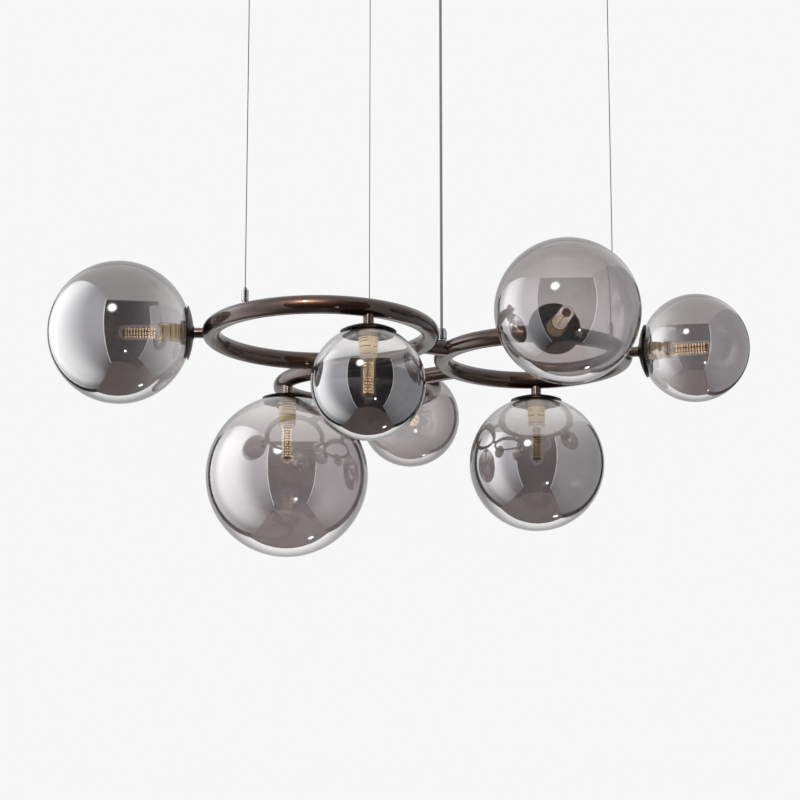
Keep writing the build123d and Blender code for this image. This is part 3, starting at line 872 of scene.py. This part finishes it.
RINGS_AND_LINKS = [
    "left_ring",
    "right_ring",
    "rear_ring",
    "left_right_link",
    "left_rear_link",
    "right_rear_link",
]
CANOPY = ["canopy_cover", "canopy_collar"]
PLUNGERS = ["left_plunger", "rear_plunger", "right_plunger"]
FINISHES = [
    (BRONZE, RINGS_AND_LINKS + CANOPY),
    (STEM_BRONZE, ["lamp_stems"]),
    (CHROME, ["wire_grippers", "cord_gland", "ceiling_cups"] + PLUNGERS),
    (ZINC, ["cup_bases", "ceiling_bracket"]),
    (TERMINAL, ["terminal_block"]),
    (LEADS, ["wiring_loom"]),
    (SILICONE, [f"{lamp}_gasket" for lamp in LAMP_TURNS]),
]
FINISHES += [(make_cap_metal(lamp), [f"{lamp}_cap"]) for lamp in LAMP_TURNS]
for finish, names in FINISHES:
    for name in names:
        nodes[name].data.materials.clear()
        nodes[name].data.materials.append(finish)
# In use the ceiling is further above the globes than here, so its fittings stay out of reflections
for name in CANOPY + ["ceiling_bracket", "ceiling_cups", "cup_bases"]:
    nodes[name].visible_glossy = False

# Studio

BACKDROP_TONE = (0.93, 0.93, 0.93, 1)
# Room as the glass mirrors it: floor, ceiling and the dark front behind the camera
MIRRORED_FLOOR = (0.20, 0.165, 0.15, 1)
MIRRORED_CEILING = (0.82, 0.80, 0.80, 1)
MIRRORED_FRONT = (0.05, 0.046, 0.048, 1)
# Heights in degrees between which the floor's tone goes over into the ceiling's
SKYLINE = (-25.0, 20.0)
# Dark front: bearing from and to, height from and to, softness of its edge
DARK_FRONT = (-80.0, 80.0, -62.0, 37.5, 0.8)
# Small round lamps in the reflections: bearing, height, radius, softness and tone
SPOT_LAMPS = [
    (20.0, -44.0, 1.4, 0.4, (16.0, 16.0, 16.0, 1)),
    (147.0, -52.6, 2.2, 0.4, (8.0, 8.0, 8.0, 1)),
]
# Light tent round the lamp: corners on the plan, edges of its walls, back card and seams
FRONT_LEFT = (-0.56, -0.73)
BACK_LEFT = (-1.10, 1.26)
BACK_RIGHT = (0.85, 1.26)
FRONT_RIGHT = (0.63, -0.74)
TENT_LOW = -1.90
TENT_HIGH = 0.10
CARD_HIGH = 1.50
EDGE_HIGH = 0.0
EDGE_WIDTH = 0.018
SEAM = 0.10
WALL_END = 0.82  # part of a side wall that is lit
HEAD_RANGE = (-0.4, 0.5)  # heights between which a wall's head sets in
FADE_LEFT = 0.2  # part of the back tone that is left after a fade
# Floor
FLOOR_HEIGHT = -2.8
FLOOR_REACH = 60.0
FLOOR_GREY = (0.30, 0.30, 0.30, 1)
FLOOR_GLOW = 0.64
# Round lamp by the camera: its place, the spot it faces, its width and power, and its mirrored face
LAMP_PLACE = (-0.51, -1.66, 0.17)
LAMP_AIM = (0.0, 0.0, -0.6)
LAMP_WIDTH = 0.06
LAMP_POWER = 70.0
FACE_CORE = 0.10
FACE_HALO = 0.30
FACE_FALL = 2.5
FACE_TONE = (9.0, 9.0, 9.0, 1)
# Softboxes: name, place, width, height and power
SOFTBOX_AIM = (0.0, 0.0, -0.5)
SOFTBOXES = [
    ("left_softbox", (-2.4, -1.2, 0.1), 1.6, 2.2, 90.0),
    ("right_softbox", (2.4, -1.0, 0.2), 0.9, 1.8, 45.0),
    ("top_softbox", (0.2, 0.3, 1.6), 2.0, 1.4, 60.0),
]
# Camera: place, tilt up from level in radians, lens and sensor in millimetres
CAMERA_PLACE = (-0.0446, -2.7651, -1.2668)
CAMERA_TILT = 0.2375
CAMERA_LENS = 120.2
CAMERA_SENSOR = 36.0


def facing(place, target):
    """Turn of a lamp that stands at a place and faces a target."""
    return (Vector(target) - Vector(place)).to_track_quat("-Z", "Y")


def add_stage(shape, name, material):
    """Make a shape a piece of the studio."""
    mesh = bpy.data.meshes.new(name)
    shape.to_mesh(mesh)
    shape.free()
    mesh.materials.append(material)
    made = bpy.data.objects.new(name, mesh)
    scene.collection.objects.link(made)
    return made


def only_mirrored(made):
    """Leave a piece of the studio to reflections."""
    made.visible_camera = False
    made.visible_diffuse = False
    made.visible_shadow = False


def make_floor():
    """Pale floor, far below the lamp and wide enough to reach the skyline."""
    shape = bmesh.new()
    level = Matrix.Translation((0, 0, FLOOR_HEIGHT))
    bmesh.ops.create_grid(shape, x_segments=2, y_segments=2, size=FLOOR_REACH, matrix=level)
    made, tree, shader = new_material("studio_floor")
    values = {
        "Base Color": FLOOR_GREY,
        "Roughness": 0.6,
        "Emission Color": (1, 1, 1, 1),
        "Emission Strength": FLOOR_GLOW,
    }
    fill(tree, shader, values)
    add_stage(shape, "studio_floor", made).visible_glossy = False


def add_lamp(name, place, target, shape, power):
    """Area lamp that faces a point and isn't seen itself; gives the lamp and its object."""
    light = bpy.data.lights.new(name, "AREA")
    light.shape = shape
    light.energy = power
    made = bpy.data.objects.new(name, light)
    made.location = place
    made.rotation_euler = facing(place, target).to_euler()
    made.visible_camera = False
    made.visible_transmission = False
    scene.collection.objects.link(made)
    return light, made


def make_softbox(name, place, width, height, power):
    """Soft area lamp that glass and metal don't mirror."""
    light, made = add_lamp(name, place, SOFTBOX_AIM, "RECTANGLE", power)
    light.size, light.size_y = width, height
    made.visible_glossy = False


def make_round_lamp():
    """Bare round lamp that puts a soft sheen on the bronze."""
    light, made = add_lamp("round_lamp", LAMP_PLACE, LAMP_AIM, "DISK", LAMP_POWER)
    light.size = LAMP_WIDTH
    made.visible_diffuse = False
    lit = bpy.data.collections.new("bronze_pieces")
    for finish, names in FINISHES:
        if finish in (BRONZE, STEM_BRONZE):
            for name in names:
                lit.objects.link(nodes[name])
    made.light_linking.receiver_collection = lit


def straight_rays(tree):
    """One for light that has come straight through glass, with nothing mirrored on its way."""
    ray = node(tree, "ShaderNodeLightPath").outputs
    bounced = maths(tree, "ADD", ray["Glossy Depth"], ray["Diffuse Depth"])
    return maths(tree, "MULTIPLY", maths(tree, "LESS_THAN", bounced, 0.5), ray["Is Transmission Ray"])


def new_glow(name):
    """Material of a lit face in the studio, its tree and the place on it."""
    made = bpy.data.materials.new(name)
    made.use_nodes = True
    made.cycles.emission_sampling = "NONE"
    tree = made.node_tree
    tree.nodes.clear()
    return made, tree, node(tree, "ShaderNodeNewGeometry").outputs["Position"]


def end_glow(tree, colour, strength, share):
    """Shine with a colour by a share and be clear for the rest."""
    lit = node(tree, "ShaderNodeEmission", {"Color": colour, "Strength": strength})
    clear = node(tree, "ShaderNodeBsdfTransparent")
    both = node(tree, "ShaderNodeMixShader", {0: share, 1: clear.outputs[0], 2: lit.outputs[0]})
    node(tree, "ShaderNodeOutputMaterial", {"Surface": both.outputs[0]})


def make_lamp_face():
    """Face of the round lamp as glass mirrors it: a white dot in a halo that fades out."""
    shape = bmesh.new()
    place = Matrix.Translation(LAMP_PLACE) @ facing(LAMP_PLACE, LAMP_AIM).to_matrix().to_4x4()
    bmesh.ops.create_circle(shape, cap_ends=True, segments=48, radius=FACE_HALO, matrix=place)
    made, tree, spot = new_glow("round_lamp_face")
    near = ramp(tree, vectors(tree, "DISTANCE", spot, LAMP_PLACE), FACE_HALO, FACE_CORE)
    mirrored = maths(tree, "SUBTRACT", 1.0, straight_rays(tree))
    share = maths(tree, "MULTIPLY", maths(tree, "POWER", near, FACE_FALL), mirrored)
    end_glow(tree, FACE_TONE, 1.0, share)
    only_mirrored(add_stage(shape, "round_lamp_face", made))


def make_tent_cloth(name, front, back=None, run=(-0.45, 0.7), fade=None, foot=1.0, head=1.0, dusk=-0.85):
    """Lit cloth of the tent, which light that has come straight through glass doesn't meet.

    With a back tone, its tone goes over from front to back along run, and part of the way back
    again along fade. Its strength goes to foot below the height dusk, and to head near its top.
    """
    made, tree, spot = new_glow(name)
    parts = node(tree, "ShaderNodeSeparateXYZ", {"Vector": spot}).outputs
    colour = front
    if back:
        share = ramp(tree, parts["Y"], *run, smooth=True)
        if fade:
            fall = ramp(tree, parts["Y"], *fade, 1.0, FADE_LEFT, smooth=True)
            share = maths(tree, "MULTIPLY", share, fall)
        colour = blend_colours(tree, share, front, back)
    low = ramp(tree, parts["Z"], TENT_LOW, dusk, foot, 1.0, smooth=True)
    high = ramp(tree, parts["Z"], *HEAD_RANGE, 1.0, head, smooth=True)
    mirrored = maths(tree, "SUBTRACT", 1.0, straight_rays(tree))
    end_glow(tree, colour, maths(tree, "MULTIPLY", low, high), mirrored)
    return made


def make_wall(name, start, end, low, high, cloth):
    """Upright wall of the tent between two points of the plan, seen only in reflections."""
    run = Vector((end[0] - start[0], end[1] - start[1], 0))
    along, up = run.normalized(), Vector((0, 0, 1))
    face = Matrix((along, up, along.cross(up))).transposed().to_4x4()
    middle = Vector((start[0] + end[0], start[1] + end[1], low + high)) / 2
    size = Matrix.Diagonal((run.length, high - low, 1, 1))
    place = Matrix.Translation(middle) @ face @ size
    shape = bmesh.new()
    bmesh.ops.create_grid(shape, x_segments=1, y_segments=1, size=0.5, matrix=place)
    only_mirrored(add_stage(shape, name, cloth))


def make_tent():
    """Walls of the tent: lit left side, dim right side, back card with dark seams, two light edges."""
    bright = make_tent_cloth(
        "tent_left",
        (1.18, 1.18, 1.25, 1),
        (3.0, 3.0, 3.05, 1),
        run=(-0.42, 0.0),
        fade=(0.20, 0.56),
        foot=0.20,
        head=0.5,
        dusk=-0.34,
    )
    dim = make_tent_cloth("tent_right", (0.64, 0.64, 0.67, 1), (0.48, 0.48, 0.50, 1), foot=0.6)
    card = make_tent_cloth("tent_card", (0.50, 0.50, 0.50, 1), foot=4.4, head=1.1)
    seam = make_tent_cloth("tent_seam", (0.02, 0.02, 0.02, 1))
    edge = make_tent_cloth("tent_edge", (2.2, 2.2, 2.2, 1))
    sides = (("left", FRONT_LEFT, BACK_LEFT, bright), ("right", FRONT_RIGHT, BACK_RIGHT, dim))
    for side, front, back, cloth in sides:
        turn = Vector(front).lerp(Vector(back), WALL_END)
        make_wall(f"{side}_wall", front, turn, TENT_LOW, TENT_HIGH, cloth)
        make_wall(f"{side}_wall_end", turn, back, TENT_LOW, TENT_HIGH, seam)
    deep = BACK_LEFT[1]
    card_left, card_right = (BACK_LEFT[0] + SEAM, deep), (BACK_RIGHT[0] - SEAM, deep)
    make_wall("back_card", card_left, card_right, TENT_LOW + SEAM, CARD_HIGH, card)
    make_wall("left_seam", BACK_LEFT, card_left, TENT_LOW, TENT_HIGH, seam)
    make_wall("right_seam", card_right, BACK_RIGHT, TENT_LOW, TENT_HIGH, seam)
    make_wall("low_seam", BACK_LEFT, BACK_RIGHT, TENT_LOW, TENT_LOW + SEAM, seam)
    for side, (x, y), width in (("left", FRONT_LEFT, EDGE_WIDTH), ("right", FRONT_RIGHT, -EDGE_WIDTH)):
        make_wall(f"{side}_edge", (x, y), (x + width, y), TENT_LOW, EDGE_HIGH, edge)


def below(tree, value, limit, soft):
    """One below a limit and nothing above it, with a soft edge."""
    return ramp(tree, value, limit + soft, limit - soft)


def between(tree, value, low, high, soft):
    """One between two limits and nothing outside them, with soft edges."""
    return maths(tree, "MULTIPLY", ramp(tree, value, low - soft, low + soft), below(tree, value, high, soft))


def make_world():
    """Room round the tent: near white to the eye and straight through glass, with its lamps mirrored.

    Bearings are in degrees from the camera's side, left negative. Heights are degrees above level.
    """
    world = bpy.data.worlds.new("studio")
    scene.world = world
    world.use_nodes = True
    tree = world.node_tree
    tree.nodes.clear()
    ray = node(tree, "ShaderNodeLightPath").outputs
    seen = maths(tree, "MAXIMUM", ray["Is Camera Ray"], straight_rays(tree))
    place = node(tree, "ShaderNodeTexCoord").outputs["Generated"]
    parts = node(tree, "ShaderNodeSeparateXYZ", {"Vector": place}).outputs
    towards = maths(tree, "MULTIPLY", parts["Y"], -1.0)
    bearing = maths(tree, "DEGREES", maths(tree, "ARCTAN2", parts["X"], towards))
    height = maths(tree, "DEGREES", maths(tree, "ARCSINE", parts["Z"]))
    tone = blend_colours(tree, ramp(tree, height, *SKYLINE), MIRRORED_FLOOR, MIRRORED_CEILING)
    first, last, bottom, top, soft = DARK_FRONT
    across = between(tree, bearing, first, last, soft)
    front = maths(tree, "MULTIPLY", across, between(tree, height, bottom, top, soft))
    mirrored = maths(tree, "LESS_THAN", ray["Diffuse Depth"], 0.5)
    tone = blend_colours(tree, maths(tree, "MULTIPLY", front, mirrored), tone, MIRRORED_FRONT)
    for side, up, reach, soft, colour in SPOT_LAMPS:
        side, up = math.radians(side), math.radians(up)
        way = (math.sin(side) * math.cos(up), -math.cos(side) * math.cos(up), math.sin(up))
        apart = maths(tree, "DEGREES", maths(tree, "ARCCOSINE", vectors(tree, "DOT_PRODUCT", place, way)))
        tone = blend_colours(tree, below(tree, apart, reach, soft), tone, colour)
    colour = blend_colours(tree, seen, tone, BACKDROP_TONE)
    shade = node(tree, "ShaderNodeBackground", {"Color": colour, "Strength": 1.0})
    node(tree, "ShaderNodeOutputWorld", {"Surface": shade.outputs[0]})


def make_camera():
    """Camera below the rings, looking up at them from the front."""
    camera = bpy.data.cameras.new("camera")
    camera.sensor_width = CAMERA_SENSOR
    camera.lens = CAMERA_LENS
    made = bpy.data.objects.new("camera", camera)
    made.location = CAMERA_PLACE
    made.rotation_euler = (math.pi / 2 + CAMERA_TILT, 0, 0)
    scene.collection.objects.link(made)
    scene.camera = made


make_tent()
make_floor()
make_world()
make_round_lamp()
make_lamp_face()
for softbox in SOFTBOXES:
    make_softbox(*softbox)
make_camera()

bpy.context.view_layer.update()
